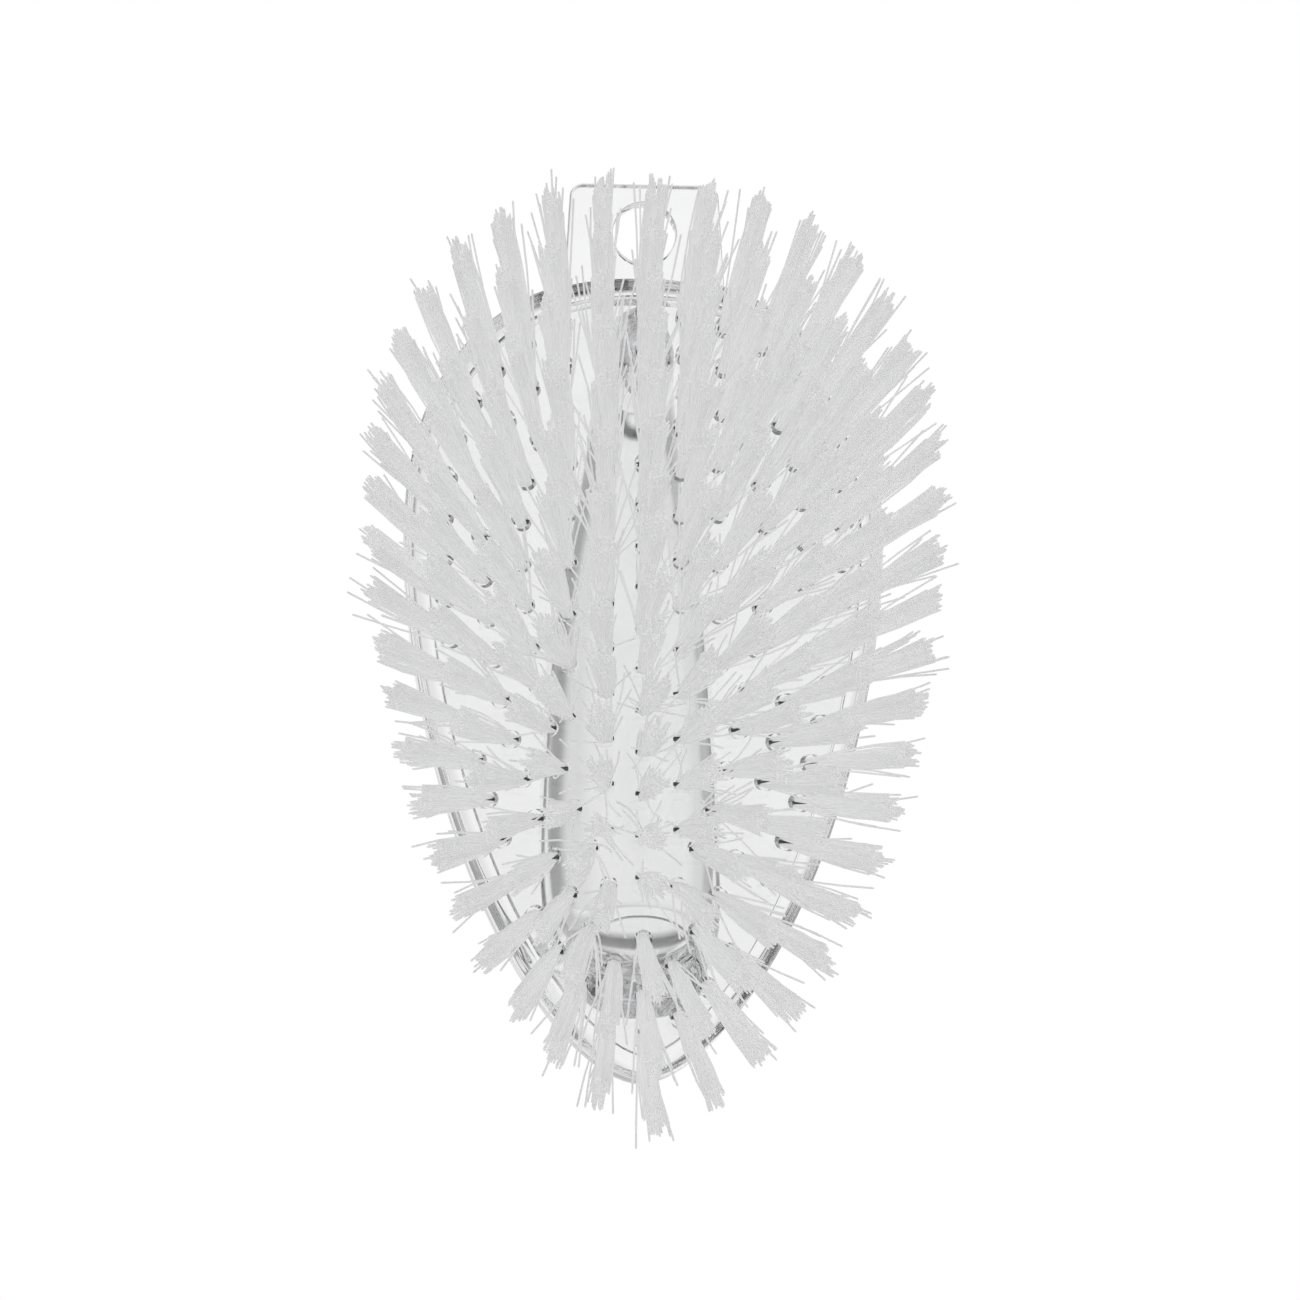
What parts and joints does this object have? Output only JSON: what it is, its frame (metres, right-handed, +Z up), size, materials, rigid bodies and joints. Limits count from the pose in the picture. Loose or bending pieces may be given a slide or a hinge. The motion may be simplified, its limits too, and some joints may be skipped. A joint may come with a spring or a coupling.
{
  "type": "hand scrub brush",
  "caption": "Clear plastic hand scrub brush: egg-shaped back with a hanging tab, a bridge handle and a bristle plate whose tufts of pale filaments fan outwards.",
  "frame": {"origin": "on the ground, under the middle of the part's box, the brush standing on its bristle tips", "axes": "+Z up from the bristle tips to the handle, +Y along the brush towards its hanging tab, +X across it"},
  "size_m": [0.0854, 0.1472, 0.0751],
  "materials": {
    "clear_plastic": "polished clear moulding, slightly milky",
    "filament": "pale translucent nylon filament"
  },
  "bodies": {
    "root": {"back_shell": "clear_plastic", "handle": "clear_plastic", "bristle_plate": "clear_plastic", "outer_ring_tufts_01": "filament", "outer_ring_tufts_02": "filament", "outer_ring_tufts_03": "filament", "outer_ring_tufts_04": "filament", "outer_ring_tufts_05": "filament", "outer_ring_tufts_06": "filament", "outer_ring_tufts_07": "filament", "outer_ring_tufts_08": "filament", "outer_ring_tufts_09": "filament", "outer_ring_tufts_10": "filament", "middle_ring_tufts_01": "filament", "middle_ring_tufts_02": "filament", "middle_ring_tufts_03": "filament", "middle_ring_tufts_04": "filament", "middle_ring_tufts_05": "filament", "middle_ring_tufts_06": "filament", "middle_ring_tufts_07": "filament", "middle_ring_tufts_08": "filament", "inner_ring_tufts_01": "filament", "inner_ring_tufts_02": "filament", "inner_ring_tufts_03": "filament", "inner_ring_tufts_04": "filament", "inner_ring_tufts_05": "filament", "inner_ring_tufts_06": "filament", "left_column_2_tufts": "filament", "left_column_1_tufts": "filament", "centre_column_tufts": "filament", "right_column_1_tufts": "filament", "right_column_2_tufts": "filament"}
  },
  "joints": []
}
